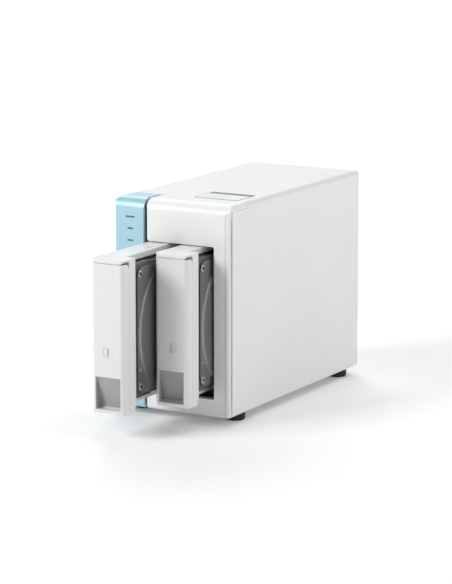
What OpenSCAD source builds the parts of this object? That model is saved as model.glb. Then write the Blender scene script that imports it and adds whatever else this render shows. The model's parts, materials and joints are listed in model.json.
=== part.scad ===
// Two-bay desktop network storage box with two drive trays drawn partly out.
// Millimetres. +X is right, +Y is back, +Z is up. The object stands on z = 0.
// Most dimensions are given in the casing's own frame: y = 0 is the front face,
// z = 0 is the underside of the casing, and x = 0 is the middle.

/* [Casing] */
// Width of the casing
body_w = 102; // [101:0.5:103]
// Height of the casing without its feet
body_h = 163; // [161:0.5:166]
// Depth of the casing
body_d = 214; // [213:0.5:216]
// Thickness of the plastic walls
wall = 2.2; // [2:0.1:2.4]
// Radius of the top front edge
front_edge_r = 9; // [8:0.5:10]
// Radius of the upright front corners
corner_r = 3.4; // [3:0.1:4]
// Radius of the long top edges
top_edge_r = 4.5; // [3.5:0.5:5.5]
// Height of the rubber feet
foot_h = 6; // [4:0.5:8]
// Diameter of the rubber feet
foot_d = 15.5; // [14:0.5:16]

/* [Front] */
// Width of the coloured strip at the left
strip_w = 26.5; // [26:0.1:26.8]
// Width of the dark gap beside the strip
gap_w = 2.4; // [2.2:0.1:2.6]
// Width of the upright column right of the drive bay
column_w = 13.9; // [13.5:0.1:14]
// How far the bezel's hood reaches back over the top
hood_d = 25.3; // [22:0.1:28]
// Hairline gap between neighbouring covers
seam = 0.25; // [0.2:0.05:0.35]

/* [Trays] */
// Width of a tray's front block
tray_w = 28.3; // [28:0.1:28.5]
// Distance between the two trays' middles
tray_pitch = 29.2; // [29.1:0.1:29.3]
// How far the left tray is drawn out
left_out = 80.5; // [60:0.5:90]
// How far the right tray is drawn out
right_out = 38.5; // [30:0.5:50]
// Radius of the upright front edges of a tray
tray_edge_r = 3.8; // [3:0.1:4]

/* [Drives] */
// Length of a drive
drive_l = 147; // [146:0.5:147]
// Thickness of a drive
drive_t = 26.1; // [25.6:0.1:26.1]

/* [Fan] */
// Side of the square fan frame
fan_w = 70; // [68:1:70]
// Number of fan blades
fan_blades = 7; // [5:1:9]

/* [Hidden] */
$fn = 64;
over = 1;

half_w = body_w / 2;
bottom_edge_r = 3;
rear_edge_r = 1.5;

// The thumb screws stand this far behind the casing.
rear_proud = 5;
front_y = (left_out - body_d - rear_proud) / 2;

// Front face layout
strip_x1 = -half_w + strip_w;
fascia_x0 = strip_x1 + gap_w;
bay_x1 = half_w - column_w;
bay_z0 = 13.6;
bay_z1 = 131.1;
bay_x0 = bay_x1 - 58.8;
front_side_d = 2.3;
groove_w = 1.5;
groove_d = 1.3;
hood_z = body_h - top_edge_r;
lip_d = 10;
strip_mid = (-half_w + strip_x1) / 2;

// Trays
tray_half = tray_w / 2;
tray_z0 = 14.3;
tray_z1 = 130.6;
block_d = 15;

// The tray's frame: a floor plate on the left with a low wall below and above the drive
frame_half = 13.65;
frame_z0 = 18.2;
frame_z1 = 130.4;
frame_end = 166.5;
wall_h = 4.3;
wall_x1 = 5.5;
plate_x1 = -12.85;
web_t = 2.5;
clip_t = 2.8;

bay_mid = (bay_x0 + bay_x1) / 2;
tray_mid = [bay_mid - tray_pitch / 2, bay_mid + tray_pitch / 2];

// Handle lever: it turns about a pin near its top
lever_d = 8;
lever_z0 = 14.6;
lever_z1 = 127.25;
skin = 2;
skirt_in = 12.15;
pivot_y = 4.6;
pivot_z = 123.5;
pin_r = 1.2;
pin_clear = 0.05;
cap_z = 127.4;
cap_relief_r = 6.1;
parting = 0.2;
lug_r = 2.2;
lug_x0 = 9;
lug_x1 = 11.9;

// Finger recess in the lever
grip_half = 10.8;
grip_z0 = 17.4;
grip_z1 = 42;
grip_top_d = 1;
grip_deep = 6;
pad_t = 0.8;

// Turn lock in the lever
lock_z = 60.8;
lock_r = 4.1;
lock_clear = 0.05;
stem_r = 2.4;

// Drives stand on edge with their covers facing right; they have a frame of their own,
// set off from the tray's
drive_shift = 0.4;
drive_lift = 3.2;
drive_y0 = 19;
drive_y1 = drive_y0 + drive_l;
drive_z0 = 20.2;
drive_z1 = 121.8;
drive_x0 = -drive_t / 2;
cover_x0 = drive_t / 2 - 1.75;
cover_x1 = cover_x0 + 1;
drive_hole_x = drive_x0 + 6.35;
drive_hole_r = 1.75;
drive_hole_y = [drive_y0 + 28.5, drive_y0 + 118.5];
drive_screw_y = [25.5, 92, 160];
drive_screw_z = [28.3, 113.7];
spindle = [71, 71];
plug_z = [28, 70];

// Inner frame and boards
sheet = 1;
cage_y0 = 6.6;
cage_y1 = 176;
cage_z0 = bay_z0 - 1.2;
cage_z1 = bay_z1 + 1.2;
runner = 0.45;
back_y = 167.5;
board_x = -half_w + 5;
board_t = 1.6;
board_face = board_x + board_t;
cage_left = bay_x0 - sheet;
cage_right = bay_x1 + sheet;
standoff_at = [[30, 24], [30, 142], [172, 24], [172, 142]];
cage_screw_x = [cage_left - 5, bay_x1 + 4.4];
cage_screw_y = [50, 150];

// Rear panel
panel_y0 = body_d - 2.4;
panel_y1 = body_d - 1.2;
fan_x = 8;
fan_z = 98;
fan_pitch = 61.5;
fan_t = 15;
fan_y0 = panel_y0 - fan_t;
rotor_r = 31.5;
hub_r = 13;
lan_z = 92;
usb_z = [48, 68];
dc_z = 26;
reset_z = 112;
screw_x = 43;
thumb_at = [[-screw_x, 150], [screw_x, 150]];
rear_screw_at = [[-screw_x, 8], [screw_x, 8], [screw_x, 50]];

foot_at = [[-41, 26], [41, 26], [-41, 196], [41, 196]];

// Front strip controls
power_z = 62;
copy_z = 43;
usb_front_z = 23;
power_r = 5.4;
copy_r = 3.4;
button_clear = 0.35;
lens_z = [148.4, 139.4, 130.2, 121, 111.8];
lens_x = strip_mid + 1.35;

// ---------------------------------------------------------------- shape helpers

// Moves a part from the casing's frame to the object's frame
module in_place() translate([0, front_y, foot_h]) children();

// Moves a part from a tray's frame to the object's frame
module in_tray(side) {
    out = side == "left" ? left_out : right_out;
    in_place() translate([tray_mid[side == "left" ? 0 : 1], -out, 0]) children();
}

// Moves a part from a drive's frame to the object's frame
module in_drive(side) in_tray(side) translate([drive_shift, 0, drive_lift]) children();

// Box between two opposite corners
module block(low, high) translate(low) cube(high - low);

// Outline in (y, z) pushed along x
module along_x(x0, x1) translate([x0, 0, 0]) rotate([90, 0, 90]) linear_extrude(x1 - x0) children();

// Outline in (x, z) pushed along y
module along_y(y0, y1) translate([0, y1, 0]) rotate([90, 0, 0]) linear_extrude(y1 - y0) children();

// Outline in (x, y) pushed along z
module along_z(z0, z1) translate([0, 0, z0]) linear_extrude(z1 - z0) children();

// Round bars along each axis
module rod_x(x0, x1, y, z, r) translate([x0, y, z]) rotate([0, 90, 0]) cylinder(h = x1 - x0, r = r);
module rod_y(y0, y1, x, z, r) translate([x, y1, z]) rotate([90, 0, 0]) cylinder(h = y1 - y0, r = r);
module rod_z(z0, z1, x, y, r) translate([x, y, z0]) cylinder(h = z1 - z0, r = r);

// What a rounded corner takes away; dir points from the corner into the outline
module corner(at, dir, r) if (r > 0) difference() {
    translate(at + dir * (r - over) / 2) square(r + over, center = true);
    translate(at + dir * r) circle(r = r);
}

// Rectangle with its own radius at each corner, from the lower left one round to the upper left one
module rounded(low, high, radii) difference() {
    translate(low) square(high - low);
    corner(low, [1, 1], radii[0]);
    corner([high[0], low[1]], [-1, 1], radii[1]);
    corner(high, [-1, -1], radii[2]);
    corner([low[0], high[1]], [1, -1], radii[3]);
}

// Slot with round ends, in the outline's own plane, standing upright
module upright_slot(at, width, height) translate(at) {
    square([width, height - width], center = true);
    for (end = [-1, 1]) translate([0, end * (height - width) / 2]) circle(d = width, $fn = 32);
}

// The casing's outer form, shrunk by inset on every side
module casing_form(inset = 0) {
    low_r = max(bottom_edge_r - inset, 0);
    top_r = max(top_edge_r - inset, 0);
    front_r = max(front_edge_r - inset, 0);
    back_r = max(rear_edge_r - inset, 0);
    side_r = max(corner_r - inset, 0);
    x1 = half_w - inset;
    y0 = inset;
    y1 = body_d - inset;
    z0 = inset;
    z1 = body_h - inset;
    intersection() {
        along_y(y0, y1) rounded([-x1, z0], [x1, z1], [low_r, low_r, top_r, top_r]);
        along_x(-x1, x1) rounded([y0, z0], [y1, z1], [low_r, back_r, back_r, front_r]);
        along_z(z0, z1) rounded([-x1, y0], [x1, y1], [side_r, side_r, back_r, back_r]);
    }
}

// The part of the front that wraps the casing between two x positions
module front_region(x0, x1) {
    lip_x0 = max(x0, -half_w + wall + seam);
    lip_x1 = min(x1, half_w - wall - seam);
    block([x0, -over, -over], [x1, front_side_d, body_h + over]);
    block([x0, -over, hood_z], [x1, hood_d, body_h + over]);
    block([lip_x0, -over, -over], [lip_x1, lip_d, wall]);
}

// Round screw with a cross recess; its head's underside is at the origin and it points along -y
module screw(head_r, head_h, shank_r, shank_l) difference() {
    union() {
        rod_y(0, head_h, 0, 0, head_r);
        rod_y(-shank_l, 0, 0, 0, shank_r);
    }
    for (turn = [0, 90]) rotate([0, turn, 0])
        block([-head_r * 0.55, head_h - 0.6, -0.3], [head_r * 0.55, head_h + over, 0.3]);
}

// ---------------------------------------------------------------- casing

module front_bezel() color("white") in_place() difference() {
    union() {
        difference() {
            intersection() {
                casing_form();
                front_region(fascia_x0, half_w + over);
            }
            casing_form(wall);
        }
        // Return wall beside the gap
        intersection() {
            casing_form();
            block([fascia_x0, 0, bay_z1], [fascia_x0 + wall, cage_y0 - 0.6, body_h]);
        }
        // Flange round the bay
        block([bay_x1, 1, bay_z0], [bay_x1 + 1.6, 6, bay_z1 + 1.6]);
        block([fascia_x0 + 1, 1, bay_z1], [bay_x1 + 1, 6, bay_z1 + 1.6]);
        block([fascia_x0, 1, bay_z0 - 1.6], [bay_x1 + 1.6, 6, bay_z0]);
    }
    // Drive bay, open to the gap at its left
    along_y(-over, front_side_d + over)
        rounded([fascia_x0 - over, bay_z0], [bay_x1, bay_z1], [0, 1, 1.2, 0]);
    along_z(-over, hood_z) corner([half_w, front_side_d], [-1, -1], 0.7);
    // Rounded left edge and lower left corner of the fascia
    along_z(bay_z1 - over, body_h + over) corner([fascia_x0, 0], [1, 1], 1.8);
    along_y(-over, 12) corner([fascia_x0, bay_z1], [1, 1], 3);
    edge_line();
}

// Fine line that sets off the right front corner and turns to the side at its top
module edge_line() {
    line_x = half_w - 4.1;
    line_w = 0.45;
    bend_r = 3;
    bend_z = hood_z - 1 - bend_r;
    line_d = 1.2;
    block([line_x - line_w / 2, -over, -over], [line_x + line_w / 2, line_d, bend_z]);
    along_y(-over, line_d) intersection() {
        difference() {
            translate([line_x + bend_r, bend_z]) circle(r = bend_r + line_w / 2);
            translate([line_x + bend_r, bend_z]) circle(r = bend_r - line_w / 2);
        }
        translate([line_x - over, bend_z]) square(bend_r + over);
    }
}

module accent_panel() color("skyblue") in_place() difference() {
    union() {
        difference() {
            intersection() {
                casing_form();
                front_region(-half_w - over, strip_x1);
            }
            casing_form(wall);
        }
        // Return wall beside the gap
        intersection() {
            casing_form();
            block([strip_x1 - wall, 0, 0], [strip_x1, front_side_d + 0.4, body_h]);
        }
    }
    along_z(-over, hood_z) corner([-half_w, front_side_d], [1, -1], 0.7);
    along_z(-over, body_h + over) corner([strip_x1, 0], [-1, 1], 0.8);
    rod_y(-over, 4, strip_mid, power_z, power_r + button_clear);
    rod_y(-over, 4, strip_mid, copy_z, copy_r + button_clear);
    block([strip_mid - 3.2, -over, usb_front_z - 7], [strip_mid + 3.2, 4, usb_front_z + 7]);
    for (i = [0 : len(lens_z) - 1]) lens_form(i, -over, 4, 0.05);
}

// Outline of one status lens; the first one is wider
module lens_form(i, y0, y1, gap) {
    lens_w = i == 0 ? 8 : 5;
    along_y(y0, y1) translate([lens_x, lens_z[i]]) rotate(90)
        upright_slot([0, 0], 1.3 + 2 * gap, lens_w + 2 * gap);
}

module status_lenses() color("steelblue") in_place()
    for (i = [0 : len(lens_z) - 1]) lens_form(i, 0.15, 2.6, 0);

module front_frame() color("dimgray") in_place() difference() {
    union() {
        along_y(3, 5) rounded([-half_w + 2.6, 2.6], [half_w - 2.6, body_h - front_edge_r + 2.4],
            [2, 2, 4, 4]);
        // Floor of the gap between the two hoods
        block([strip_x1 - 3, 4.8, body_h - front_edge_r - 0.4],
            [fascia_x0 - 0.2, hood_d + 2, body_h - front_edge_r + 2.4]);
    }
    // Bay window, larger than the bezel's flange
    block([bay_x0, 0, bay_z0 - 1.9], [bay_x1 + 1.9, 9, bay_z1 + 1.9]);
    block([fascia_x0 - 0.2, 0, bay_z0 - 1.9], [bay_x0 + over, 9, bay_z0 + 0.2]);
    // Room for the fascia's return wall
    block([fascia_x0 - 0.2, 0, bay_z1], [fascia_x0 + wall + 0.2, 9, body_h - 3.5]);
    rod_y(0, 9, strip_mid, power_z, power_r + 1.6);
    rod_y(0, 9, strip_mid, copy_z, copy_r + 1.6);
    block([strip_mid - 3.2, 0, usb_front_z - 7], [strip_mid + 3.2, 9, usb_front_z + 7]);
    for (z = lens_z) block([lens_x - 4.6, 0, z - 1.5], [lens_x + 4.6, 9, z + 1.5]);
}

module main_cover() color("white") in_place() difference() {
    union() {
        difference() {
            casing_form();
            // Hollow inside, open at the back
            along_y(-over, body_d + over) rounded([-half_w + wall, wall], [half_w - wall, body_h - wall],
                [bottom_edge_r - wall, bottom_edge_r - wall, top_edge_r - wall, top_edge_r - wall]);
        }
        // Bosses for the screws through the rear panel
        for (at = concat(thumb_at, rear_screw_at)) {
            side = sign(at[0]);
            translate([side * (half_w - wall - 4.5), panel_y0 - 5.2, at[1]])
                cube([9.4, 10, 8], center = true);
        }
    }
    for (at = concat(thumb_at, rear_screw_at)) rod_y(panel_y0 - 11, body_d, at[0], at[1], 1.85);
    // Room for the bezel and its hood
    block([-half_w - over, -over, -over], [half_w + over, front_side_d + seam, body_h + over]);
    block([-half_w - over, -over, hood_z - seam], [half_w + over, hood_d + seam, body_h + over]);
    // Underside, closed by the bezel's lip and the base pan
    block([-half_w + wall, -over, -over], [half_w - wall, lip_d + seam, wall + over]);
    block([-half_w + 5, lip_d, -over], [half_w - 5, body_d + over, wall + over]);
    // Grooves along both sides behind the bezel, each with a rounded rear edge
    for (side = [-1, 1]) along_z(-over, hood_z) {
        translate([side * half_w, front_side_d + seam + groove_w / 2 - over / 2])
            square([2 * groove_d, groove_w + over], center = true);
        corner([side * half_w, front_side_d + seam + groove_w], [-side, 1], 0.8);
    }
}

module base_pan() color("gainsboro") in_place() difference() {
    block([-half_w + 5.2, lip_d + seam, 0], [half_w - 5.2, panel_y0 - 0.2, wall]);
    for (row = [0, 1], i = [-5 : 5])
        along_z(-over, wall + over) upright_slot([i * 6, 70 + row * 70], 3, 46);
    for (at = foot_at) rod_z(-over, wall + over, at[0], at[1], 1.6);
    for (x = cage_screw_x, y = cage_screw_y) rod_z(-over, wall + over, x, y, 1.6);
}

module top_label() color("aliceblue") in_place()
    along_z(body_h, body_h + 0.2) rounded([4.6, hood_d + seam + 0.15], [42.4, 55.4], [1, 1, 1, 1]);

module feet() color("black") in_place() for (at = foot_at) translate([at[0], at[1], -foot_h]) difference() {
    union() {
        cylinder(h = 1, r1 = foot_d / 2 - 1, r2 = foot_d / 2 - 0.3);
        translate([0, 0, 1]) cylinder(h = foot_h - 1, r1 = foot_d / 2 - 0.3, r2 = foot_d / 2);
    }
    translate([0, 0, -over]) cylinder(h = over + 2, r = 4);
    cylinder(h = foot_h + over, r = 1.6);
}

module foot_screws() color("silver") in_place() for (at = foot_at)
    translate([at[0], at[1], 2 - foot_h]) rotate([-90, 0, 0])
        screw(3, 1.5, 1.55, foot_h - 2 + wall);

// ---------------------------------------------------------------- inner frame

module drive_cage() color("dimgray") in_place() difference() {
    union() {
        block([cage_left, cage_y0, wall], [bay_x0, cage_y1, 150]);
        block([bay_x1, cage_y0, wall], [cage_right, cage_y1, 150]);
        block([cage_left, cage_y0, cage_z0], [cage_right, cage_y1, cage_z0 + sheet]);
        block([cage_left, cage_y0, cage_z1 - sheet], [cage_right, cage_y1, cage_z1]);
        // Feet of the cage, screwed to the base pan
        block([cage_left - 9, 40, wall], [cage_left + over, 160, wall + sheet]);
        block([bay_x1, 40, wall], [half_w - 5.6, 160, wall + sheet]);
    }
    for (y = [45, 80, 115, 150]) rod_x(cage_left - over, cage_right + over, y, 71, 12);
    for (x = cage_screw_x, y = cage_screw_y) rod_z(0, 9, x, y, 1.6);
    // Slot for the backplane's tongue
    block([cage_left - over, back_y - 1, 37], [bay_x0 + over, back_y + board_t + 1, 78]);
    for (at = standoff_at) rod_x(cage_left - over, bay_x0 + over, at[0], at[1], 1.4);
}

module cage_screws() color("silver") in_place() for (x = cage_screw_x, y = cage_screw_y)
    translate([x, y, wall + sheet]) rotate([90, 0, 0]) screw(2.6, 1.6, 1.5, wall + sheet);

// Runners that the tray frames slide on and lips that keep them in line
module bay_guides() color("black") in_place() {
    y0 = block_d + web_t + 1;
    y1 = back_y - 1.5;
    floor_z = cage_z0 + sheet;
    ceiling_z = cage_z1 - sheet;
    lip_h = 3.7;
    lip_t = 0.75;
    play = 0.35;
    for (z = [floor_z, ceiling_z - runner]) block([bay_x0, 10, z], [bay_x1, y1, z + runner]);
    for (x = tray_mid) {
        left = x - frame_half - play;
        right = x + wall_x1 + play;
        block([left - lip_t, y0, floor_z], [right + lip_t, y1, frame_z0 - 0.2]);
        for (lip_x = [left - lip_t, right]) {
            block([lip_x, y0, floor_z], [lip_x + lip_t, y1, frame_z0 + lip_h]);
            block([lip_x, y0, frame_z1 - lip_h], [lip_x + lip_t, y1, ceiling_z]);
        }
    }
}

module backplane() color("darkgreen") in_place() difference() {
    union() {
        block([bay_x0 + 0.1, back_y, 24], [bay_x1 - 0.1, back_y + board_t, 124]);
        block([board_face + 2, back_y, 39], [bay_x0 + over, back_y + board_t, 76]);
    }
    // Air windows
    for (x = tray_mid)
        along_y(back_y - over, back_y + board_t + over)
            rounded([x - 11, 76], [x + 11, 114], [2, 2, 2, 2]);
}

module sata_connectors() color("black") in_place()
    for (x = tray_mid) translate([x + drive_shift, 0, drive_lift]) difference() {
        block([-12.6, back_y - 5.5, plug_z[0] + 0.6], [-7.2, back_y, plug_z[1] - 0.6]);
        block([-10.7, back_y - 5.5 - over, plug_z[0] + 1.7], [-8.9, back_y - 1.5, plug_z[1] - 1.7]);
    }

module main_board() color("darkgreen") in_place() difference() {
    block([board_x, 14, 15], [board_face, panel_y0 - 0.3, 152]);
    // Corner cleared for the screw boss
    block([board_x - over, 200, 140], [board_face + over, body_d, 153]);
    for (at = standoff_at) rod_x(board_x - over, board_face + over, at[0], at[1], 1.6);
}

module board_chips() color("black") in_place() {
    // Processor, memory and network chips
    block([board_face, 84, 66], [board_face + 2, 116, 98]);
    for (i = [0 : 3]) block([board_face, 82 + i * 10, 108], [board_face + 1.2, 90 + i * 10, 120]);
    block([board_face, 160, 86], [board_face + 1.4, 170, 96]);
    block([board_face, 128, 52], [board_face + 1.4, 142, 64]);
    // Coils and capacitors of the supply
    for (i = [0 : 2]) block([board_face, 158 - i * 12, 24], [board_face + 4, 166 - i * 12, 32]);
    for (i = [0 : 3]) rod_x(board_face, board_face + 8, 126 + i * 10, 42, 3.2);
    // Body of the reset switch
    block([board_face, 203.5, reset_z - 2], [board_face + 4, 207.6, reset_z + 2]);
}

module board_connectors() color("black") in_place() {
    // Socket for the backplane's tongue
    difference() {
        block([board_face, back_y - 2.5, 38], [board_face + 7, back_y + board_t + 2.5, 77]);
        block([board_face + 1.9, back_y - 0.1, 38.9], [board_face + 8, back_y + board_t + 0.1, 76.1]);
    }
    // Bridge to the control board at the front
    block([board_face, 11.6, 92], [board_face + 5, 20, 108]);
    // Fan header
    block([board_face, 199, 124], [board_face + 3, 207, 132]);
}

module board_standoffs() color("goldenrod") in_place() for (at = standoff_at) difference() {
    translate([board_face, at[0], at[1]]) rotate([0, 90, 0])
        cylinder(h = cage_left - board_face, r = 3, $fn = 6);
    rod_x(board_face - over, board_face + 6, at[0], at[1], 1.3);
}

module board_screws() color("silver") in_place() for (at = standoff_at)
    translate([board_x, at[0], at[1]]) rotate([0, 0, 90]) screw(2.6, 1.5, 1.25, board_t + 4);

module heat_sink() color("silver") in_place() translate([board_face + 2, 80, 62]) {
    cube([2.5, 40, 40]);
    for (i = [0 : 8]) translate([2.5, 0, i * 4.75]) cube([9, 40, 2]);
}

module clock_battery() color("silver") in_place() {
    rod_x(board_face + 0.8, board_face + 4, 60, 128, 10);
    rod_x(board_face, board_face + 0.8, 60, 128, 11.2);
}

module led_board() color("darkgreen") in_place() {
    block([-half_w + 4, 10, 34], [strip_x1 - 2.4, 11.6, 154]);
    // Switch bodies behind the buttons
    for (z = [power_z, copy_z]) {
        block([strip_mid - 3, 8.6, z - 3], [strip_mid + 3, 10, z + 3]);
    }
    // Lamps behind the lenses
    for (z = lens_z) block([lens_x - 1.5, 8.8, z - 0.6], [lens_x + 1.5, 10, z + 0.6]);
}

// ---------------------------------------------------------------- sockets

module lan_jack() color("silver") in_place() difference() {
    block([board_face, panel_y1 - 21, lan_z - 8], [board_face + 13.5, panel_y1, lan_z + 8]);
    block([board_face + 2.4, panel_y1 - 12, lan_z - 5.9],
        [board_face + 10.4, panel_y1 + over, lan_z + 5.9]);
    block([board_face + 10, panel_y1 - 12, lan_z - 3], [board_face + 12, panel_y1 + over, lan_z + 3]);
}

// One socket: a shell open towards +y with its contact tongue inside; its mouth is at the origin
module usb_socket(depth) {
    difference() {
        block([-2.85, -depth, -6.6], [2.85, 0, 6.6]);
        block([-2.35, -depth + 4, -6.1], [2.35, over, 6.1]);
    }
    block([-1.9, -depth + 3.5, -5.5], [0, -1.2, 5.5]);
}

module rear_usb_ports() color("silver") in_place()
    for (z = usb_z) translate([board_face + 2.85, panel_y1, z]) usb_socket(17);

module front_usb_port() color("silver") in_place()
    translate([strip_mid, 0.5, usb_front_z]) rotate([0, 0, 180]) usb_socket(14);

module dc_inlet() color("black") in_place() {
    dc_x = board_face + 5.5;
    difference() {
        block([board_face, panel_y1 - 14, dc_z - 4.8], [board_face + 11, panel_y1, dc_z + 4.8]);
        rod_y(panel_y1 - 10, panel_y1 + over, dc_x, dc_z, 3.2);
    }
    rod_y(panel_y1 - 11, panel_y1 - 0.8, dc_x, dc_z, 1.0);
}

// ---------------------------------------------------------------- rear

module rear_panel() color("white") in_place() difference() {
    along_y(panel_y0, panel_y1)
        rounded([-half_w + 2.5, 2.5], [half_w - 2.5, body_h - 2.5], [1, 1, 2, 2]);
    rod_y(panel_y0 - over, body_d, fan_x, fan_z, rotor_r + 1);
    for (dx = [-1, 1], dz = [-1, 1])
        rod_y(panel_y0 - over, body_d, fan_x + dx * fan_pitch / 2, fan_z + dz * fan_pitch / 2, 2.1);
    // Socket openings
    along_y(panel_y0 - over, body_d) {
        translate([board_face - 0.1, lan_z - 8.1]) square([13.7, 16.2]);
        for (z = usb_z) translate([board_face - 0.1, z - 6.7]) square([5.9, 13.4]);
        translate([board_face - 0.1, dc_z - 4.9]) square([11.2, 9.8]);
        translate([board_face + 2, reset_z]) circle(r = 1.3);
        upright_slot([-36, 134], 3, 7);
        for (i = [0 : 9]) upright_slot([-14 + i * 5.5, 30], 2.6, 34);
        for (at = thumb_at) translate(at) circle(r = 1.9);
        for (at = rear_screw_at) translate(at) circle(r = 1.7);
    }
}

module rear_screws() color("silver") in_place() for (at = rear_screw_at)
    translate([at[0], panel_y1, at[1]]) screw(3, 1.6, 1.6, 8);

module thumb_screws() color("silver") in_place() for (at = thumb_at)
    translate([at[0], panel_y1, at[1]]) difference() {
        union() {
            rod_y(0, 1, 0, 0, 3.4);
            rod_y(1, rear_proud + 1.2, 0, 0, 4.6);
            rod_y(-8, 0, 0, 0, 1.8);
        }
        // Grip flutes and driver slot
        for (i = [0 : 17]) rotate([0, i * 20, 0]) rod_y(0.5, 8, 4.75, 0, 0.35, $fn = 16);
        for (turn = [0, 90]) rotate([0, turn, 0])
            block([-2.6, rear_proud + 0.2, -0.45], [2.6, rear_proud + 3, 0.45]);
    }

module fan_frame() color("black") in_place() translate([fan_x, fan_y0, fan_z]) {
    half = fan_w / 2;
    difference() {
        along_y(0, fan_t) rounded([-half, -half], [half, half], [3, 3, 3, 3]);
        rod_y(-over, fan_t + over, 0, 0, rotor_r + 1);
        for (dx = [-1, 1], dz = [-1, 1])
            rod_y(-over, fan_t + over, dx * fan_pitch / 2, dz * fan_pitch / 2, 2.1);
    }
    // Motor seat and its struts, on the outlet side
    rod_y(fan_t - 2.5, fan_t, 0, 0, hub_r + 0.5);
    for (i = [0 : 2]) rotate([0, 30 + i * 120, 0])
        block([hub_r, fan_t - 2.5, -1.2], [rotor_r + 1.5, fan_t, 1.2]);
}

module fan_rotor() color("dimgray") in_place() translate([fan_x, fan_y0, fan_z]) {
    rod_y(0.8, fan_t - 3.2, 0, 0, hub_r);
    intersection() {
        rod_y(0, fan_t, 0, 0, rotor_r);
        for (i = [0 : fan_blades - 1]) rotate([0, i * 360 / fan_blades, 0])
            translate([hub_r - 1.5, fan_t / 2 - 1.2, 0]) rotate([38, 0, 0])
                block([0, -0.6, -7.2], [rotor_r, 0.6, 7.2]);
    }
}

module fan_guard() color("silver") in_place()
    translate([fan_x, panel_y1 + 1.4, fan_z]) rotate([-90, 0, 0]) {
    wire_r = 0.8;
    for (r = [9, 16.5, 24, 31.5]) rotate_extrude() translate([r, 0.6]) circle(r = wire_r, $fn = 24);
    // Crossed wires between the eyes at the corners
    wire_l = fan_pitch / sqrt(2) - 3;
    for (turn = [45, 135]) rotate([0, 0, turn]) rod_x(-wire_l, wire_l, 0, -0.6, wire_r);
    for (dx = [-1, 1], dz = [-1, 1]) translate([dx * fan_pitch / 2, dz * fan_pitch / 2, -0.6])
        rotate_extrude() translate([3, 0]) circle(r = wire_r, $fn = 24);
}

module fan_screws() color("silver") in_place() for (dx = [-1, 1], dz = [-1, 1])
    translate([fan_x + dx * fan_pitch / 2, panel_y1 + 1.8, fan_z + dz * fan_pitch / 2])
        screw(3.6, 1.5, 1.9, 12);

module fan_lead() color("black") in_place()
    rod_x(board_face + 3, fan_x - fan_w / 2, 203, 128, 1.1);

// ---------------------------------------------------------------- buttons

// Push button with a retaining flange behind the panel; its face stands 0.4 mm proud
module push_button(z, r) {
    rod_y(-0.4, 2.6, strip_mid, z, r);
    rod_y(2.5, 3.2, strip_mid, z, r + 0.9);
    rod_y(3, 7, strip_mid, z, 1.8);
}

module power_button() color("white") in_place() push_button(power_z, power_r);
module copy_button() color("white") in_place() push_button(copy_z, copy_r);

module reset_button() color("black") in_place() rod_y(208.4, 211.2, board_face + 2, reset_z, 0.9);

// ---------------------------------------------------------------- trays

module tray_frame(side) color("white") in_tray(side) difference() {
    union() {
        for (z = [frame_z0, frame_z1 - wall_h])
            block([-frame_half, block_d, z], [wall_x1, frame_end, z + wall_h]);
        block([-frame_half, block_d, frame_z0], [plate_x1, frame_end, frame_z1]);
        block([-frame_half, block_d, frame_z0], [frame_half, block_d + web_t, frame_z1]);
    }
    // Windows in the front web and in the plate
    block([-10.5, block_d - over, frame_z0 + 9], [10.5, block_d + 4, frame_z1 - 9]);
    for (y = [30, 98])
        block([-frame_half - over, y, frame_z0 + 12], [plate_x1 + over, y + 58, frame_z1 - 12]);
    // Channels for the clips
    for (z = [frame_z0 + wall_h - clip_t - 0.3, frame_z1 - wall_h - over])
        block([-9.6, 24, z], [-3.8, 160, z + clip_t + 0.3 + over]);
    // Latch slot in the top
    along_z(frame_z1 - 1.6, frame_z1 + over) upright_slot([0, 60], 2, 9.5);
}

// Strips whose pins hold the drive by its side holes
module tray_clips(side) color("gray") in_tray(side) {
    low_z = frame_z0 + wall_h - clip_t - 0.1;
    high_z = frame_z1 - wall_h + 0.1;
    for (z = [low_z, high_z]) block([-9.4, 34, z], [-4, 150, z + clip_t]);
    for (y = drive_hole_y) {
        rod_z(low_z + 1, drive_z0 + drive_lift + 2.5, drive_hole_x + drive_shift, y, 1.5);
        rod_z(drive_z1 + drive_lift - 2.5, high_z + 1, drive_hole_x + drive_shift, y, 1.5);
    }
}

module tray_bezel(side) color("white") in_tray(side) difference() {
    union() {
        // Upright block behind the lever
        block([-tray_half, lever_d + parting, tray_z0], [tray_half, block_d, tray_z1]);
        // Cap above the lever, relieved for the lever's swing
        difference() {
            intersection() {
                along_z(cap_z, tray_z1)
                    rounded([-tray_half, 0], [tray_half, lever_d + 2], [tray_edge_r, tray_edge_r, 0, 0]);
                along_x(-tray_half, tray_half)
                    rounded([0, cap_z - 3], [lever_d + 2, tray_z1], [0, 0, 0, 2.2]);
            }
            rod_x(-tray_half - over, tray_half + over, pivot_y, pivot_z, cap_relief_r);
        }
        // Lugs that hold the lever's pin
        for (x = [-lug_x1, lug_x0]) along_x(x, x + lug_x1 - lug_x0) {
            translate([pivot_y, pivot_z]) circle(r = lug_r);
            translate([pivot_y, pivot_z - lug_r]) square([lever_d - pivot_y + 1, 2 * lug_r]);
        }
    }
    rod_x(-lug_x1 - over, lug_x1 + over, pivot_y, pivot_z, pin_r);
    // Hollow open to the back, window for the lock's cam, air slots
    block([-tray_half + 1.8, 10, frame_z0 + wall_h + 0.4],
        [tray_half - 1.8, block_d + over, frame_z1 - wall_h - 0.4]);
    block([-3.6, lever_d, lock_z - 9], [3.6, 11, lock_z + 9]);
    for (z = [82, 100]) along_y(lever_d, 11) for (x = [-7, 0, 7]) upright_slot([x, z], 3, 14);
}

module lever_pin(side) color("silver") in_tray(side)
    rod_x(-13.2, 13.2, pivot_y, pivot_z, pin_r);

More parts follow.
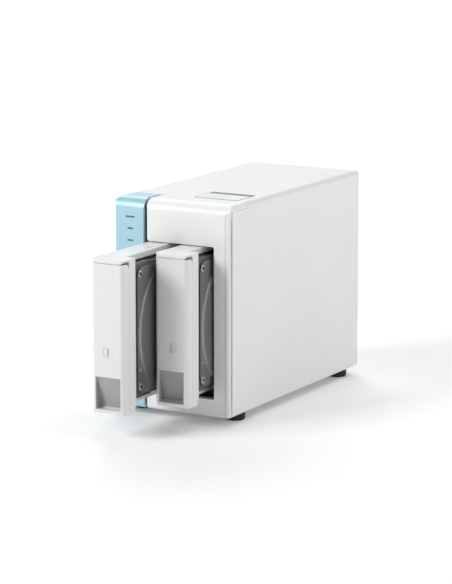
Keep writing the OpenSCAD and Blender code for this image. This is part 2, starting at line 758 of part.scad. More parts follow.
// Side outline of the lever; its rear top corner is round about the pin
module lever_profile() difference() {
    rounded([0, lever_z0], [lever_d, lever_z1], [1.2, 0.6, 0, 0.5]);
    difference() {
        translate([pivot_y, pivot_z]) square(6);
        translate([pivot_y, pivot_z]) circle(r = lever_d - pivot_y);
    }
}

// Side outline of the finger recess, deepened by extra
module grip_profile(extra) polygon([
    [-over, grip_z1], [grip_top_d + extra, grip_z1], [grip_deep + extra, grip_z0 + 5],
    [grip_deep + extra, grip_z0 + 1.5], [grip_deep - 1.5, grip_z0], [-over, grip_z0]
]);

module lever(side) color("white") in_tray(side) difference() {
    intersection() {
        along_z(lever_z0, lever_z1)
            rounded([-tray_half, 0], [tray_half, lever_d], [tray_edge_r, tray_edge_r, 0, 0]);
        along_x(-tray_half, tray_half) lever_profile();
    }
    // Hollow above the finger recess
    block([-skirt_in, skin, grip_z1 + 2], [skirt_in, lever_d + over, lever_z1 + over]);
    along_x(-grip_half, grip_half) grip_profile(pad_t);
    rod_x(-13.3, 13.3, pivot_y, pivot_z, pin_r + pin_clear);
    rod_y(-over, skin + over, 0, lock_z, lock_r + lock_clear);
    translate([0, 0.5, lock_z]) rotate([90, 0, 0]) cylinder(h = 1, r1 = lock_r, r2 = lock_r + 1);
}

// Soft lining of the finger recess
module grip_pad(side) color("gray") in_tray(side) difference() {
    pad_half = grip_half - 0.05;
    along_x(-pad_half, pad_half) intersection() {
        grip_profile(pad_t - 0.02);
        translate([grip_top_d, grip_z0 + 1.5]) square([grip_deep, grip_z1 - grip_z0 - 1.6]);
    }
    along_x(-pad_half + pad_t, pad_half - pad_t) grip_profile(0);
}

module turn_lock(side) color("silver") in_tray(side) difference() {
    union() {
        rod_y(0.5, skin + 0.3, 0, lock_z, lock_r);
        rod_y(skin + 0.1, skin + 1, 0, lock_z, lock_r + 1.2);
        rod_y(skin + 0.5, 11.6, 0, lock_z, stem_r);
        // Cam that turns behind the fixed block
        block([-2.2, 10.4, lock_z - 2], [2.2, 11.8, lock_z + 7.6]);
    }
    block([-0.6, 0, lock_z - 3], [0.6, 1.6, lock_z + 3]);
}

// ---------------------------------------------------------------- drives

module drive_base(side) color("dimgray") in_drive(side) difference() {
    along_x(drive_x0, cover_x0) rounded([drive_y0, drive_z0], [drive_y1, drive_z1], [2.5, 2.5, 2.5, 2.5]);
    // Platter chamber and head chamber under the cover
    rod_x(drive_x0 + 4.5, cover_x0 + over, spindle[0], spindle[1], 46.5);
    block([drive_x0 + 9, 112, 44], [cover_x0 + over, 150, 108]);
    // Recess of the circuit board and pocket of the plug
    block([drive_x0 - over, 62, 26], [drive_x0 + 3, 150, 116]);
    block([drive_x0 - over, drive_y1 - 6, plug_z[0]], [drive_x0 + 6.4, drive_y1 + over, plug_z[1]]);
    // Fixing holes in both edges
    for (y = drive_hole_y) {
        rod_z(drive_z0 - over, drive_z0 + 4, drive_hole_x, y, drive_hole_r);
        rod_z(drive_z1 - 4, drive_z1 + over, drive_hole_x, y, drive_hole_r);
    }
    // Cover screw holes and steps along the casting's edges
    for (y = drive_screw_y, z = drive_screw_z) rod_x(cover_x0 - 5, cover_x0 + over, y, z, 1.2);
    for (z = [drive_z0, drive_z1])
        block([3, drive_y0 + 22, z - 1], [cover_x0 + over, drive_y1 - 30, z + 1]);
}

module drive_cover(side) color("dimgray") in_drive(side) difference() {
    union() {
        along_x(cover_x0, cover_x1)
            rounded([drive_y0 + 1.5, drive_z0 + 1.5], [drive_y1 - 5, drive_z1 - 1.5], [5, 9, 9, 5]);
        // Raised pan over the platters and boss over the head arm
        rod_x(cover_x1 - 0.1, cover_x1 + 0.4, spindle[0], spindle[1], 42);
        rod_x(cover_x1 - 0.1, cover_x1 + 0.4, 133, 96, 13);
    }
    rod_x(cover_x1 + 0.1, cover_x1 + over, spindle[0], spindle[1], 12);
    for (y = drive_screw_y, z = drive_screw_z) rod_x(cover_x0 - over, cover_x1 + over, y, z, 1.2);
}

module drive_board(side) color("darkgreen") in_drive(side) {
    block([drive_x0 + 1.4, 64, 28], [drive_x0 + 3, 148, 114]);
    for (at = [[80, 50], [110, 60], [128, 90]])
        block([drive_x0 + 0.3, at[0], at[1]], [drive_x0 + 1.4, at[0] + 14, at[1] + 14]);
    // Plug at the back end
    plug_y = drive_y1 - 6;
    block([drive_x0 + 0.3, plug_y, plug_z[0] + 0.2], [drive_x0 + 6.2, plug_y + 1.5, plug_z[1] - 0.2]);
    block([-10.4, plug_y + 1, plug_z[0] + 2], [-9.2, plug_y + 5.4, plug_z[1] - 2]);
}

module drive_screws(side) color("silver") in_drive(side) for (y = drive_screw_y, z = drive_screw_z)
    translate([cover_x1, y, z]) difference() {
        union() {
            rod_x(0, 0.75, 0, 0, 2.7);
            rod_x(-5, 0, 0, 0, 1.2);
        }
        rod_x(0.2, 2, 0, 0, 1.1, $fn = 6);
    }

// ---------------------------------------------------------------- drawing

front_bezel();
accent_panel();
front_frame();
main_cover();
base_pan();
rear_panel();
feet();
foot_screws();
drive_cage();
bay_guides();
cage_screws();
backplane();
sata_connectors();
main_board();
board_chips();
board_connectors();
board_standoffs();
board_screws();
heat_sink();
clock_battery();
lan_jack();
rear_usb_ports();
front_usb_port();
dc_inlet();
led_board();
status_lenses();
top_label();
fan_frame();
fan_rotor();
fan_guard();
fan_screws();
fan_lead();
thumb_screws();
rear_screws();
power_button();
copy_button();
reset_button();
tray_frame("left");  // left_tray_frame
tray_bezel("left");  // left_tray_bezel
tray_clips("left");  // left_tray_clips
lever_pin("left");  // left_lever_pin
lever("left");  // left_lever
grip_pad("left");  // left_grip_pad
turn_lock("left");  // left_lock
drive_base("left");  // left_drive_base
drive_cover("left");  // left_drive_cover
drive_board("left");  // left_drive_board
drive_screws("left");  // left_drive_screws
tray_frame("right");  // right_tray_frame
tray_bezel("right");  // right_tray_bezel
tray_clips("right");  // right_tray_clips
lever_pin("right");  // right_lever_pin
lever("right");  // right_lever
grip_pad("right");  // right_grip_pad
turn_lock("right");  // right_lock
drive_base("right");  // right_drive_base
drive_cover("right");  // right_drive_cover
drive_board("right");  // right_drive_board
drive_screws("right");  // right_drive_screws
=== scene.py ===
"""Looks of the two-bay network attached storage box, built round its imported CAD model. Metres."""
import json
import math

import bmesh
import bpy
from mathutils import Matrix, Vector


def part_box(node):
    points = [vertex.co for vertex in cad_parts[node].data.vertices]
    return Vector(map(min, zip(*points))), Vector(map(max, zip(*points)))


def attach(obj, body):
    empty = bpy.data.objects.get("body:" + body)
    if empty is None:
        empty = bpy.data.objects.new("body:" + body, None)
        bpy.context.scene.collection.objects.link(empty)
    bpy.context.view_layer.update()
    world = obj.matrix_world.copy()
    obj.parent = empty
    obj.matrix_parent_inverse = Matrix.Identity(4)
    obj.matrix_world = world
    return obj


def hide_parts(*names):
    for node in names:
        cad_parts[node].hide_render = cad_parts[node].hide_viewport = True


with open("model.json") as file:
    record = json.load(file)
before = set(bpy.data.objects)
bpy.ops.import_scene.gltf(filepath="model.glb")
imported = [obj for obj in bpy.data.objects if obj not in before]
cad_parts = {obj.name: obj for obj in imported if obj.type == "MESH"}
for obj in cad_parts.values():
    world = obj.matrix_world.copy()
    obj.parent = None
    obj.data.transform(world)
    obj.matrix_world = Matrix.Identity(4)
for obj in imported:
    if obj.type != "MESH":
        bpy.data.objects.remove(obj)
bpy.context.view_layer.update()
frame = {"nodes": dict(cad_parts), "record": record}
nodes = frame["nodes"]
MM = 0.001
UM = 0.000001
SIDES = ("left", "right")


# ---------------------------------------------------------------- places taken from the frame

def low(node):
    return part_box(node)[0]


def high(node):
    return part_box(node)[1]


FRONT = low("front_bezel").y
TOP = high("main_cover").z
BOTTOM = low("main_cover").z


# ---------------------------------------------------------------- material building blocks

class Graph:
    """A material's node tree with short calls for the nodes that this scene uses."""

    def __init__(self, name):
        self.material = bpy.data.materials.new(name)
        self.material.use_nodes = True
        self.tree = self.material.node_tree
        self.shader = self.tree.nodes["Principled BSDF"]
        self.coords = self.tree.nodes.new("ShaderNodeTexCoord").outputs["Object"]

    def set(self, **values):
        """Sets uniform values on the shader; spaces in socket names are written as underscores."""
        for name, value in values.items():
            self.shader.inputs[name.replace("_", " ")].default_value = value

    def wire(self, source, node, socket):
        """Sets a socket to a number or colour, or links another node's output to it."""
        if isinstance(source, (int, float)):
            node.inputs[socket].default_value = source
        elif isinstance(source, tuple):
            node.inputs[socket].default_value = (*source, 1.0)
        else:
            self.tree.links.new(source, node.inputs[socket])

    def noise(self, scale, detail=3.0, rough=0.55, distortion=0.0, stretch=None):
        node = self.tree.nodes.new("ShaderNodeTexNoise")
        node.inputs["Scale"].default_value = scale
        node.inputs["Detail"].default_value = detail
        node.inputs["Roughness"].default_value = rough
        node.inputs["Distortion"].default_value = distortion
        self.wire(self.stretched(stretch), node, "Vector")
        return node.outputs["Fac"]

    def stretched(self, stretch):
        """The object's coordinates in metres, scaled per axis if asked."""
        if stretch is None:
            return self.coords
        node = self.tree.nodes.new("ShaderNodeMapping")
        node.inputs["Scale"].default_value = stretch
        self.wire(self.coords, node, "Vector")
        return node.outputs["Vector"]

    def axes(self):
        node = self.tree.nodes.new("ShaderNodeSeparateXYZ")
        self.wire(self.coords, node, "Vector")
        return node.outputs

    def math(self, operation, a, b=0.0, clamp=False):
        node = self.tree.nodes.new("ShaderNodeMath")
        node.operation = operation
        node.use_clamp = clamp
        self.wire(a, node, 0)
        self.wire(b, node, 1)
        return node.outputs[0]

    def span(self, value, from_low, from_high, to_low, to_high, smooth=False):
        """Maps a value from one range to another, held at the ends."""
        node = self.tree.nodes.new("ShaderNodeMapRange")
        node.interpolation_type = "SMOOTHSTEP" if smooth else "LINEAR"
        self.wire(value, node, "Value")
        node.inputs["From Min"].default_value = from_low
        node.inputs["From Max"].default_value = from_high
        node.inputs["To Min"].default_value = to_low
        node.inputs["To Max"].default_value = to_high
        return node.outputs["Result"]

    def inside(self, value, start, end, soft=50 * UM):
        """1 where the value lies between start and end, 0 outside, with soft edges."""
        rise = self.span(value, start - soft, start + soft, 0.0, 1.0)
        fall = self.span(value, end - soft, end + soft, 1.0, 0.0)
        return self.math("MULTIPLY", rise, fall)

    def mix(self, factor, a, b):
        node = self.tree.nodes.new("ShaderNodeMix")
        node.data_type = "RGBA"
        self.wire(factor, node, "Factor")
        self.wire(a, node, 6)
        self.wire(b, node, 7)
        return node.outputs[2]

    def colour(self, source):
        self.wire(source, self.shader, "Base Color")

    def roughness(self, source):
        self.wire(source, self.shader, "Roughness")

    def bump(self, *layers):
        """Each layer is (height, distance in metres); they are stacked on each other."""
        normal = None
        for height, distance in layers:
            node = self.tree.nodes.new("ShaderNodeBump")
            node.inputs["Distance"].default_value = distance
            self.wire(height, node, "Height")
            if normal is not None:
                self.wire(normal, node, "Normal")
            normal = node.outputs["Normal"]
        self.wire(normal, self.shader, "Normal")


def shade(colour, factor):
    return tuple(min(1.0, c * factor) for c in colour)


def plastic(name, colour, rough, grain=10 * UM, grain_scale=5500, cloud=0.97, smudge=0.05, coat=0.0):
    """Moulded plastic: faint clouding, fine grain, handling marks that change its gloss."""
    g = Graph(name)
    clouds = g.noise(14, 4)
    specks = g.noise(2600, 2)
    tone = g.math("ADD", g.span(clouds, 0.3, 0.7, 0.0, 0.8), g.span(specks, 0.3, 0.7, 0.0, 0.2))
    g.colour(g.mix(tone, shade(colour, cloud), colour))
    marks = g.noise(38, 5, 0.6, 1.2)
    g.roughness(g.span(marks, 0.35, 0.7, rough - smudge, rough + smudge))
    g.bump((g.noise(30, 2), 20 * UM), (g.noise(grain_scale, 2), grain))
    g.set(Coat_Weight=coat, Coat_Roughness=0.12, Specular_IOR_Level=0.45)
    return g


def white_plastic():
    return plastic("white_plastic", (0.88, 0.885, 0.885), 0.38, grain=3 * UM, smudge=0.04)


def cover_plastic():
    return plastic("cover_plastic", (0.83, 0.835, 0.835), 0.42, grain=12 * UM, smudge=0.04)


def tray_plastic():
    return plastic("tray_plastic", (0.79, 0.795, 0.795), 0.38)


def blue_plastic():
    g = plastic("blue_plastic", (0.42, 0.67, 0.77), 0.42, grain=2 * UM, cloud=0.95, smudge=0.02)
    g.set(Metallic=0.22, Specular_IOR_Level=0.35)
    return g


def black_plastic():
    return plastic("black_plastic", (0.022, 0.022, 0.024), 0.42, grain=12 * UM, cloud=0.8)


def chip_plastic():
    return plastic("chip_plastic", (0.018, 0.018, 0.02), 0.55, cloud=0.7)


def clip_plastic():
    return plastic("clip_plastic", (0.28, 0.29, 0.3), 0.45, cloud=0.85)


def button_plastic():
    return plastic("button_plastic", (0.66, 0.82, 0.87), 0.25, grain=2 * UM, cloud=0.95, coat=0.4)


def lens_plastic():
    g = plastic("lens_plastic", (0.06, 0.17, 0.24), 0.2, grain=2 * UM, cloud=0.8, coat=0.5)
    g.set(Transmission_Weight=0.15)
    return g


def lock_plastic():
    return plastic("lock_plastic", (0.78, 0.785, 0.785), 0.4, cloud=0.95)


def cable():
    return plastic("cable", (0.03, 0.03, 0.03), 0.5, cloud=0.7)


def rubber():
    g = plastic("rubber", (0.014, 0.014, 0.015), 0.7, grain=30 * UM, grain_scale=2400, cloud=0.6)
    dust = g.span(g.noise(120, 5), 0.5, 0.75, 0.0, 0.35)
    g.colour(g.mix(dust, (0.012, 0.012, 0.013), (0.05, 0.048, 0.045)))
    return g


def dots(g, pitch, radius, first, second):
    """Height 1 inside round dots on a square grid across two of the object's axes."""
    distances = []
    for axis in (first, second):
        wrapped = g.math("PINGPONG", axis, pitch / 2)
        offset = g.math("SUBTRACT", wrapped, pitch / 4)
        distances.append(g.math("MULTIPLY", offset, offset))
    away = g.math("SQRT", g.math("ADD", *distances))
    return g.span(away, radius * 0.7, radius * 1.2, 1.0, 0.0, smooth=True)


def grip_rubber():
    """Grey rubber with a fine grid of raised dots."""
    g = Graph("grip_rubber")
    axes = g.axes()
    raised = dots(g, 1.3 * MM, 0.33 * MM, axes["X"], axes["Z"])
    base = g.mix(g.noise(60, 4), (0.31, 0.315, 0.32), (0.38, 0.385, 0.39))
    g.colour(g.mix(raised, base, (0.47, 0.475, 0.48)))
    g.roughness(g.span(g.noise(90, 4), 0.3, 0.7, 0.5, 0.68))
    g.bump((raised, 150 * UM), (g.noise(5000, 2), 10 * UM))
    return g


def metal(name, colour, rough, stretch=(1, 1, 1), scratch=10 * UM, scale=900, tarnish=0.9):
    """Bare or plated metal with fine drawn lines and patches of duller gloss."""
    g = Graph(name)
    patches = g.noise(45, 5, 0.6)
    g.colour(g.mix(g.span(patches, 0.3, 0.7, 0.0, 1.0), shade(colour, tarnish), colour))
    lines = g.noise(scale, 4, 0.7, 0.0, stretch)
    g.roughness(g.math("ADD", g.span(patches, 0.3, 0.7, rough * 0.8, rough * 1.15),
                       g.span(lines, 0.3, 0.7, -0.05, 0.05), clamp=True))
    g.bump((lines, scratch))
    g.set(Metallic=1.0)
    return g


def zinc():
    return metal("zinc", (0.62, 0.63, 0.64), 0.32)


def nickel():
    return metal("nickel", (0.7, 0.69, 0.66), 0.26, stretch=(1, 0.08, 1), scratch=6 * UM, scale=1600)


def chrome_wire():
    return metal("chrome_wire", (0.74, 0.74, 0.75), 0.16, scratch=4 * UM)


def aluminium():
    return metal("aluminium", (0.72, 0.73, 0.74), 0.42, stretch=(1, 0.1, 1), scale=1500)


def brass():
    return metal("brass", (0.72, 0.53, 0.26), 0.3, stretch=(0.1, 1, 1), scale=1800, tarnish=0.8)


def black_screws():
    return metal("black_screws", (0.05, 0.05, 0.052), 0.42)


def coating(name, colour, rough, peel, peel_scale, coat=0.0):
    """Paint on metal: orange peel over finer grain, faint clouding and patches of duller gloss."""
    g = Graph(name)
    clouds = g.span(g.noise(20, 4), 0.3, 0.7, 0.0, 1.0)
    g.colour(g.mix(clouds, shade(colour, 0.93), shade(colour, 1.04)))
    g.roughness(g.span(g.noise(60, 5, 0.6, 0.8), 0.35, 0.7, rough - 0.05, rough + 0.07))
    g.bump((g.noise(peel_scale, 3), peel), (g.noise(peel_scale * 5, 2), peel * 0.3))
    g.set(Coat_Weight=coat, Coat_Roughness=0.2)
    return g


def painted_steel():
    return coating("painted_steel", (0.82, 0.825, 0.825), 0.45, peel=20 * UM, peel_scale=1100)


def dark_steel():
    return coating("dark_steel", (0.035, 0.036, 0.038), 0.5, peel=20 * UM, peel_scale=1300)


def drive_casting():
    g = coating("drive_casting", (0.085, 0.088, 0.092), 0.42, peel=50 * UM, peel_scale=700, coat=0.2)
    g.set(Metallic=0.35)
    return g


def drive_cover():
    g = coating("drive_cover", (0.24, 0.243, 0.25), 0.33, peel=10 * UM, peel_scale=2200)
    g.set(Metallic=0.8)
    return g


def circuit_board():
    """Green board with groups of parallel tracks and a grid of plated holes."""
    g = Graph("circuit_board")
    axes = g.axes()
    track_pitch = 1.1 * MM
    track_half = 0.16 * MM
    track_edge = 0.22 * MM
    hole_pitch = 3.3 * MM
    hole_r = 0.3 * MM
    groups = g.noise(85, 1, 0.3)
    copper = dots(g, hole_pitch, hole_r, axes["Y"], axes["Z"])
    for axis, start, end in (("Y", 0.0, 0.45), ("Z", 0.53, 1.0)):
        ridge = g.math("PINGPONG", axes[axis], track_pitch / 2)
        track = g.span(ridge, track_half, track_edge, 1.0, 0.0)
        grouped = g.math("MULTIPLY", track, g.inside(groups, start, end, soft=0.004))
        copper = g.math("MAXIMUM", copper, grouped)
    base = g.mix(g.noise(30, 3), (0.005, 0.055, 0.026), (0.008, 0.075, 0.036))
    g.colour(g.mix(copper, base, (0.02, 0.14, 0.07)))
    g.roughness(g.span(g.noise(200, 3), 0.3, 0.7, 0.25, 0.38))
    g.bump((copper, 30 * UM), (g.noise(900, 2), 10 * UM))
    return g


def label():
    """Film label: dark border and rear header, pale body with fine plain bars, no lettering."""
    g = Graph("label")
    lo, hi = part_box("top_label")
    axes = g.axes()
    x, y = axes["X"], axes["Y"]
    header_depth = 8 * MM
    border = 0.9 * MM
    bar_height = 0.8 * MM
    bar_pitch = 3.6 * MM
    bar_front = 4.2 * MM
    bar_left = lo.x + 4 * MM
    body = g.math("MULTIPLY", g.inside(x, lo.x + border, hi.x - border * 0.4),
                  g.inside(y, lo.y + border, hi.y - header_depth))
    paper = g.mix(g.noise(90, 3), (0.8, 0.84, 0.86), (0.86, 0.9, 0.92))
    ink = g.mix(g.noise(60, 3), (0.16, 0.19, 0.21), (0.2, 0.23, 0.25))
    bars = 0.0
    for row, length in enumerate((17, 23, 12, 20)):
        row_y = lo.y + bar_front + bar_pitch * row
        bar = g.math("MULTIPLY", g.inside(y, row_y, row_y + bar_height),
                     g.inside(x, bar_left, bar_left + length * MM))
        bars = g.math("MAXIMUM", bars, bar)
    g.colour(g.mix(body, ink, g.mix(bars, paper, (0.5, 0.58, 0.64))))
    g.roughness(g.span(g.noise(70, 4), 0.3, 0.7, 0.32, 0.42))
    g.bump((g.noise(400, 2), 10 * UM))
    return g


MATERIALS = {build.__name__: build().material for build in (
    white_plastic, cover_plastic, tray_plastic, blue_plastic, black_plastic, chip_plastic,
    clip_plastic, button_plastic, lens_plastic, lock_plastic, cable, rubber, grip_rubber, zinc,
    nickel, chrome_wire, aluminium, brass, painted_steel, dark_steel, black_screws, drive_casting,
    drive_cover, circuit_board, label)}


# ---------------------------------------------------------------- carried-over CAD nodes

# Edge rounding in millimetres by material slot; slots not listed get the last value
EDGE_MM = {
    "white_plastic": 0.35, "cover_plastic": 0.35, "tray_plastic": 0.14, "blue_plastic": 0.35,
    "black_plastic": 0.2, "dark_steel": 0.15, "painted_steel": 0.15, "rubber": 0.4,
    "drive_casting": 0.5, "drive_cover": 0.25, "button_plastic": 0.4, "grip_rubber": 0.15,
    "other": 0.1,
}
# Faces that meet at less than the first angle are one plane, edges over the second are rounded
FLAT_DEGREES = 0.5
SHARP_DEGREES = 28
# A surface that grows by more than this factor when its edges are rounded has a fault
FAULTY_GROWTH = 1.002


def soften(obj, width):
    """Rounds a CAD mesh's sharp edges with modifiers, without touching the mesh itself."""
    weld = obj.modifiers.new("weld", "WELD")
    weld.merge_threshold = 2 * UM
    planes = obj.modifiers.new("planes", "DECIMATE")
    planes.decimate_type = "DISSOLVE"
    planes.angle_limit = math.radians(FLAT_DEGREES)
    bevel = obj.modifiers.new("edges", "BEVEL")
    bevel.width = width
    bevel.segments = 3
    bevel.limit_method = "ANGLE"
    bevel.angle_limit = math.radians(SHARP_DEGREES)
    bevel.use_clamp_overlap = True
    bevel.miter_outer = "MITER_ARC"
    normals = obj.modifiers.new("normals", "WEIGHTED_NORMAL")
    normals.weight = 90
    normals.keep_sharp = False


def surface(mesh):
    """Whole area of a mesh's triangles."""
    mesh.calc_loop_triangles()
    return sum(triangle.area for triangle in mesh.loop_triangles)


def shaped_surface(obj):
    """Area of an object's mesh with its modifiers applied."""
    shaped = obj.evaluated_get(bpy.context.evaluated_depsgraph_get())
    area = surface(shaped.to_mesh())
    shaped.to_mesh_clear()
    return area


def drop_faulty_modifiers():
    """Rounding only ever shrinks a surface, so one that grew has a face folded over a hole."""
    for name in ("planes", "edges"):
        grown = [obj for obj in nodes.values()
                 if shaped_surface(obj) > FAULTY_GROWTH * surface(obj.data)]
        for obj in grown:
            obj.modifiers.remove(obj.modifiers[name])


def dress_frame():
    """Gives every CAD node its material and rounded edges."""
    slots = {row["node"]: row["material_slot"] for row in frame["record"]["subparts"]}
    for name, obj in nodes.items():
        slot = slots[name]
        obj.data.materials.clear()
        obj.data.materials.append(MATERIALS[slot])
        for face in obj.data.polygons:
            face.material_index = 0
            face.use_smooth = True
        soften(obj, EDGE_MM.get(slot, EDGE_MM["other"]) * MM)
    drop_faulty_modifiers()


dress_frame()


# ---------------------------------------------------------------- modelled pieces

def join_rings(form, below, above, material=0):
    """Faces between two closed rings with the same number of points."""
    for i in range(len(below)):
        after = (i + 1) % len(below)
        face = form.faces.new((below[i], below[after], above[after], above[i]))
        face.material_index = material


def piece_from(form, name, *slots):
    """Makes a bmesh into an object that has the named slots' materials."""
    mesh = bpy.data.meshes.new(name)
    form.to_mesh(mesh)
    form.free()
    for slot in slots:
        mesh.materials.append(MATERIALS[slot])
    piece = bpy.data.objects.new(name, mesh)
    bpy.context.scene.collection.objects.link(piece)
    return piece


# ---------------------------------------------------------------- stamped drive covers

# In millimetres: u runs back from the cover's front end, v up from its lower edge
COVER_SHEET = 1.0
COVER_MARGIN = 1.4
COVER_CORNER_R = 7
COVER_STEP = 0.9
COVER_SCREW_V = 6.6
COVER_SCREWS_FROM_FRONT = (5, 71.5)
COVER_SCREW_FROM_BACK = 1


def ramp(distance, slope):
    """0 outside an outline, 1 once as far inside it as the slope is wide, smooth between."""
    t = max(0.0, min(1.0, distance / slope))
    return t * t * (3 - 2 * t)


def edge_drop(u, v, length, width):
    """The sheet turns down all round its outline."""
    depth = 0.4
    inside = min(u, length - u, v, width - v)
    return depth * (1 - ramp(inside, slope=1.2))


def pan_rise(u, v, length, width):
    """Raised pan over the platters: a wide arc in front, straight sides and back."""
    rise = 0.9
    arc_r = 62
    arc_front = 3
    arc_below_middle = 4.5
    side = 6
    back = 17
    arc = arc_r - math.hypot(u - arc_front - arc_r, v - width / 2 + arc_below_middle)
    inside = min(arc, v - side, width - side - v, length - back - u)
    return rise * ramp(inside, slope=2.2)


def spindle_grooves(u, v, width):
    """Two round grooves centred on the spindle."""
    radii_and_depths = ((12.5, 0.35), (31, 0.2))
    half_width = 1.1
    spindle_u = width / 2 + 1.2
    away = math.hypot(u - spindle_u, v - width / 2)
    return sum(depth * ramp(half_width - abs(away - radius), slope=0.8)
               for radius, depth in radii_and_depths)


def pivot_disc(u, v, length, width):
    """Sunk disc over the head arm's pivot, with a raised middle."""
    disc_r = 9
    disc_depth = 0.45
    middle_r = 4
    middle_rise = 0.3
    pivot_u = 0.8 * length
    pivot_v = 0.75 * width
    away = math.hypot(u - pivot_u, v - pivot_v)
    disc = disc_depth * ramp(disc_r - away, slope=1.5)
    return disc - middle_rise * ramp(middle_r - away, slope=1.2)


def breather_hole(u, v, width):
    """Small dimple near the front end."""
    radius = 1.5
    depth = 0.9
    hole_u = 4.5
    hole_v = 0.2 * width
    away = math.hypot(u - hole_u, v - hole_v)
    return depth * ramp(radius - away, slope=0.7)


def cover_height(u, v, length, width, screws):
    """Height in mm of the stamped cover, with a flat seat and a raised lip round each screw."""
    seat_r = 5.2
    lip_r = 3.8
    lip_half_width = 0.8
    lip_rise = 0.35
    height = COVER_SHEET - edge_drop(u, v, length, width)
    height += pan_rise(u, v, length, width)
    height -= spindle_grooves(u, v, width)
    height -= pivot_disc(u, v, length, width)
    for screw_u, screw_v in screws:
        away = math.hypot(u - screw_u, v - screw_v)
        height += (COVER_SHEET - height) * ramp(seat_r - away, slope=1.2)
        height += lip_rise * ramp(lip_half_width - abs(away - lip_r), slope=0.6)
    return height - breather_hole(u, v, width)


def cover_grid(form, lo, length, width):
    """Rows of points over the cover's outline, which has round corners."""
    columns = round(length / COVER_STEP)
    rows = round((width - 2 * COVER_MARGIN) / COVER_STEP)
    screws = [(u, v) for u in (*COVER_SCREWS_FROM_FRONT, length - COVER_SCREW_FROM_BACK)
              for v in (COVER_SCREW_V, width - COVER_SCREW_V)]
    grid = []
    for j in range(rows + 1):
        v = COVER_MARGIN + (width - 2 * COVER_MARGIN) * j / rows
        from_edge = min(v - COVER_MARGIN, width - COVER_MARGIN - v, COVER_CORNER_R)
        reach = COVER_CORNER_R - from_edge
        corner = math.sqrt(max(0.0, COVER_CORNER_R ** 2 - reach ** 2))
        inset = COVER_MARGIN + COVER_CORNER_R - corner
        line = []
        for i in range(columns + 1):
            u = inset + (length - 2 * inset) * i / columns
            height = cover_height(u, v, length, width, screws)
            line.append(form.verts.new((lo.x + height * MM, lo.y + u * MM, lo.z + v * MM)))
        grid.append(line)
    return grid


def drive_cover_piece(side):
    """Stamped steel cover of one drive, in place of the plain CAD plate."""
    lo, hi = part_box(f"{side}_drive_cover")
    form = bmesh.new()
    grid = cover_grid(form, lo, (hi.y - lo.y) / MM, (hi.z - lo.z) / MM)
    for below, above in zip(grid, grid[1:]):
        for i in range(len(below) - 1):
            form.faces.new((below[i], below[i + 1], above[i + 1], above[i]))
    # A skirt from the rim down to the casting, closed underneath
    rim = [*grid[0], *(line[-1] for line in grid[1:-1]),
           *reversed(grid[-1]), *(line[0] for line in grid[-2:0:-1])]
    foot = [form.verts.new((lo.x, point.co.y, point.co.z)) for point in rim]
    join_rings(form, rim, foot)
    form.faces.new(foot)
    for point, after in zip(rim, rim[1:] + rim[:1]):
        form.edges.get((point, after)).smooth = False
    bmesh.ops.recalc_face_normals(form, faces=form.faces)
    for face in form.faces:
        face.smooth = len(face.verts) == 4
    piece = piece_from(form, f"{side}_stamped_cover", "drive_cover")
    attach(piece, f"{side}_tray")
    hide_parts(f"{side}_drive_cover")


# ---------------------------------------------------------------- drive screws

# In millimetres
SCREW_HEAD_R = 2.7
SCREW_FRONT_TO_MIDDLE = 66.5


def screw_head(form, x, y, z):
    """Round head that faces +x, with a six-lobed recess whose walls and floor take the dark material
    as painted shade.
    """
    outer = SCREW_HEAD_R * MM
    lobe = 0.55 * outer
    lobe_wave = 0.14
    lobes = 6
    painted_shade_from = 3
    turns = 36
    # Radius, wave of the outline, and height, from the head's foot to the recess's floor
    sections = (
        (outer, 0.0, -1.6 * MM),
        (outer, 0.0, -0.3 * MM),
        (outer - 0.3 * MM, 0.0, 0.0),
        (lobe, lobe_wave, 0.0),
        (0.92 * lobe, lobe_wave, -1.2 * MM),
    )
    rings = []
    for radius, wave, height in sections:
        ring = []
        for i in range(turns):
            angle = math.tau * i / turns
            reach = radius * (1 + wave * math.cos(lobes * angle))
            ring.append(form.verts.new((x + height, y + reach * math.cos(angle),
                                        z + reach * math.sin(angle))))
        rings.append(ring)
    for index, (below, above) in enumerate(zip(rings, rings[1:])):
        # Rings inside the recess take the dark material, painted shade
        join_rings(form, below, above, material=int(index >= painted_shade_from))
    form.faces.new(rings[0])
    form.faces.new(rings[-1]).material_index = 1


def drive_screw_piece(side):
    """Six screw heads, in place of the plain CAD screws."""
    lo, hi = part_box(f"{side}_drive_screws")
    outer = SCREW_HEAD_R * MM
    front_y = lo.y + outer
    form = bmesh.new()
    for y in (front_y, front_y + SCREW_FRONT_TO_MIDDLE * MM, hi.y - outer):
        for z in (lo.z + outer, hi.z - outer):
            screw_head(form, hi.x, y, z)
    bmesh.ops.recalc_face_normals(form, faces=form.faces)
    # The second material darkens the recesses, painted shade
    piece = piece_from(form, f"{side}_screw_heads", "zinc", "black_screws")
    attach(piece, f"{side}_tray")
    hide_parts(f"{side}_drive_screws")


for side in SIDES:
    drive_cover_piece(side)
    drive_screw_piece(side)


# ---------------------------------------------------------------- dark strips behind the bezel, painted shade in the seams

# In millimetres, for the dark strip laid in the groove between the bezel and each side of the cover,
# painted shade that darkens the seam
GROOVE_FLOOR = 1.25
GROOVE_MIDDLE = 3.2
SHADE_STRIP_HALF_WIDTH = 0.62
SHADE_STRIP_RISE = 0.4
SHADE_STRIP_LOWER_GAP = 10
SHADE_STRIP_UPPER_GAP = 11


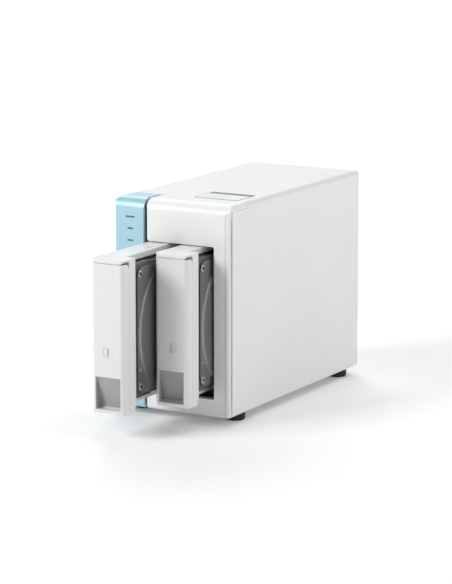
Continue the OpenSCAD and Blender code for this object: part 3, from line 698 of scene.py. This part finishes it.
def groove_shade_strip(name, side):
    """Grey half-round strip laid in the groove as painted shade that darkens the seam; side is 1 for
    the +x side of the object, -1 for the other.
    """
    lo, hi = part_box("main_cover")
    floor_x = (hi.x if side > 0 else -lo.x) - GROOVE_FLOOR * MM
    middle_y = FRONT + GROOVE_MIDDLE * MM
    half = SHADE_STRIP_HALF_WIDTH * MM
    rise = SHADE_STRIP_RISE * MM
    ends = (BOTTOM + SHADE_STRIP_LOWER_GAP * MM, TOP - SHADE_STRIP_UPPER_GAP * MM)
    end_scale = 0.4
    turns = 8
    form = bmesh.new()
    rings = []
    for z in (ends[0], ends[0] + half, ends[1] - half, ends[1]):
        grow = end_scale if z in ends else 1.0
        ring = []
        for i in range(turns + 1):
            angle = math.pi * i / turns
            x = side * (floor_x + rise * grow * math.sin(angle))
            ring.append(form.verts.new((x, middle_y + half * grow * math.cos(angle), z)))
        rings.append(ring)
    for below, above in zip(rings, rings[1:]):
        join_rings(form, below, above)
    form.faces.new(rings[0])
    form.faces.new(rings[-1])
    bmesh.ops.recalc_face_normals(form, faces=form.faces)
    piece = piece_from(form, name, "clip_plastic")
    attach(piece, "chassis")


# Dark strips in both side seams, painted shade
groove_shade_strip("left_groove_shade", -1)
groove_shade_strip("right_groove_shade", 1)


# ---------------------------------------------------------------- floor, light and camera

def studio_floor():
    """One wide pale sheet under the object."""
    half = 12.0
    glow_near = 0.08
    glow_far = 0.85
    near = 0.4
    far = 2.4
    mesh = bpy.data.meshes.new("studio_floor")
    corners = [(-half, -half, 0.0), (half, -half, 0.0), (half, half, 0.0), (-half, half, 0.0)]
    mesh.from_pydata(corners, [], [(0, 1, 2, 3)])
    floor = bpy.data.objects.new("studio_floor", mesh)
    bpy.context.scene.collection.objects.link(floor)
    g = Graph("studio_floor")
    g.colour(g.mix(g.noise(3, 2), (0.93, 0.93, 0.93), (0.95, 0.95, 0.95)))
    g.roughness(0.6)
    # The sheet glows more with distance, so that it stays pale up to the edge of every view
    axes = g.axes()
    away = g.math("SQRT", g.math("ADD", g.math("MULTIPLY", axes["X"], axes["X"]),
                                 g.math("MULTIPLY", axes["Y"], axes["Y"])))
    glow = g.span(away, near, far, glow_near, glow_far, smooth=True)
    g.wire(glow, g.shader, "Emission Strength")
    g.set(Emission_Color=(1.0, 1.0, 1.0, 1.0), Specular_IOR_Level=0.2)
    mesh.materials.append(g.material)


def area_light(name, place, target, width, height, watts):
    data = bpy.data.lights.new(name, "AREA")
    data.shape = "RECTANGLE"
    data.size = width
    data.size_y = height
    data.energy = watts
    light = bpy.data.objects.new(name, data)
    bpy.context.scene.collection.objects.link(light)
    light.location = place
    light.rotation_euler = (Vector(target) - Vector(place)).to_track_quat("-Z", "Y").to_euler()


def studio_light():
    """Even pale surroundings and four soft lights, one of them over the floor behind the object."""
    surroundings = 0.195
    world = bpy.data.worlds.new("studio")
    world.use_nodes = True
    background = world.node_tree.nodes["Background"]
    background.inputs["Color"].default_value = (1.0, 1.0, 1.0, 1.0)
    background.inputs["Strength"].default_value = surroundings
    bpy.context.scene.world = world
    middle = (0.0, 0.0, 0.08)
    area_light("top_light", (0.6, 0.3, 2.0), middle, 1.6, 1.6, 16)
    area_light("right_light", (2.2, 0.5, 0.9), middle, 1.4, 1.2, 12)
    area_light("key_light", (-1.15, -1.65, 1.3), middle, 0.9, 0.9, 30.5)
    area_light("back_light", (-1.5, 2.2, 1.9), (-1.5, 2.2, 0.0), 2.0, 2.6, 58)


def photo_camera():
    """Camera at the reference's viewing angle: 30 degrees to the right, 11 degrees above."""
    yaw = 0.51718
    pitch = 0.19431
    to_right = 0.998449
    in_front = 1.671699
    above = 0.476511
    data = bpy.data.cameras.new("camera")
    data.sensor_width = 36
    data.lens = 161.3
    camera = bpy.data.objects.new("camera", data)
    bpy.context.scene.collection.objects.link(camera)
    level = math.cos(pitch)
    ahead = Vector((-math.sin(yaw) * level, math.cos(yaw) * level, -math.sin(pitch)))
    camera.location = (to_right, FRONT - in_front, BOTTOM + above)
    camera.rotation_euler = ahead.to_track_quat("-Z", "Y").to_euler()
    bpy.context.scene.camera = camera


studio_floor()
studio_light()
photo_camera()
bpy.context.scene.view_settings.view_transform = "Standard"
